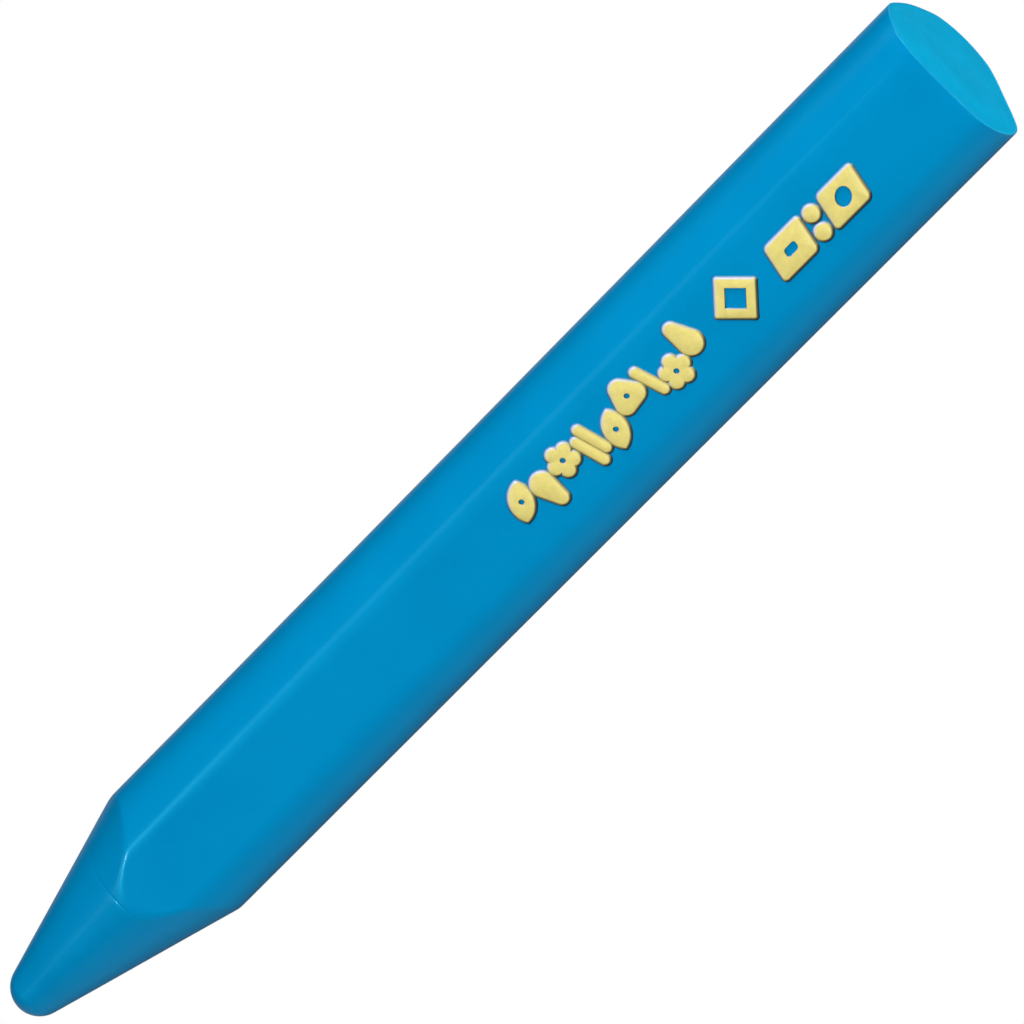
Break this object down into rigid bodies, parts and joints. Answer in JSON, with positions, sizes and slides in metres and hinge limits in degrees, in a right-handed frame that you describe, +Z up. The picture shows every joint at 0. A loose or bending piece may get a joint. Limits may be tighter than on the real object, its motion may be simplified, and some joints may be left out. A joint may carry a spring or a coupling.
{
  "type": "crayon",
  "caption": "Chunky three-sided plastic crayon with a conical tip and a flat cut end, lying on one flat, with yellow foil marks stamped along one face.",
  "frame": {"origin": "on the resting flat, half way along the crayon and under its axis", "axes": "+X along the crayon from the tip to the cut rear end, +Z up, stamped face up and towards -Y"},
  "size_m": [0.09, 0.011, 0.0105],
  "materials": {
    "crayon_plastic": "satin, slightly waxy moulded blue",
    "stamped_foil": "pale yellow hot-stamped foil"
  },
  "bodies": {
    "root": {"crayon_body": "crayon_plastic", "foil_badge_front_block": "stamped_foil", "foil_badge_upper_dot": "stamped_foil", "foil_badge_lower_dot": "stamped_foil", "foil_badge_rear_block": "stamped_foil", "foil_frame": "stamped_foil", "foil_row_drop_1": "stamped_foil", "foil_row_flower_2": "stamped_foil", "foil_row_bar_3": "stamped_foil", "foil_row_nut_4": "stamped_foil", "foil_row_leaf_5": "stamped_foil", "foil_row_bar_6": "stamped_foil", "foil_row_bar_7": "stamped_foil", "foil_row_flower_8": "stamped_foil", "foil_row_drop_9": "stamped_foil", "foil_row_leaf_10": "stamped_foil"}
  },
  "joints": []
}
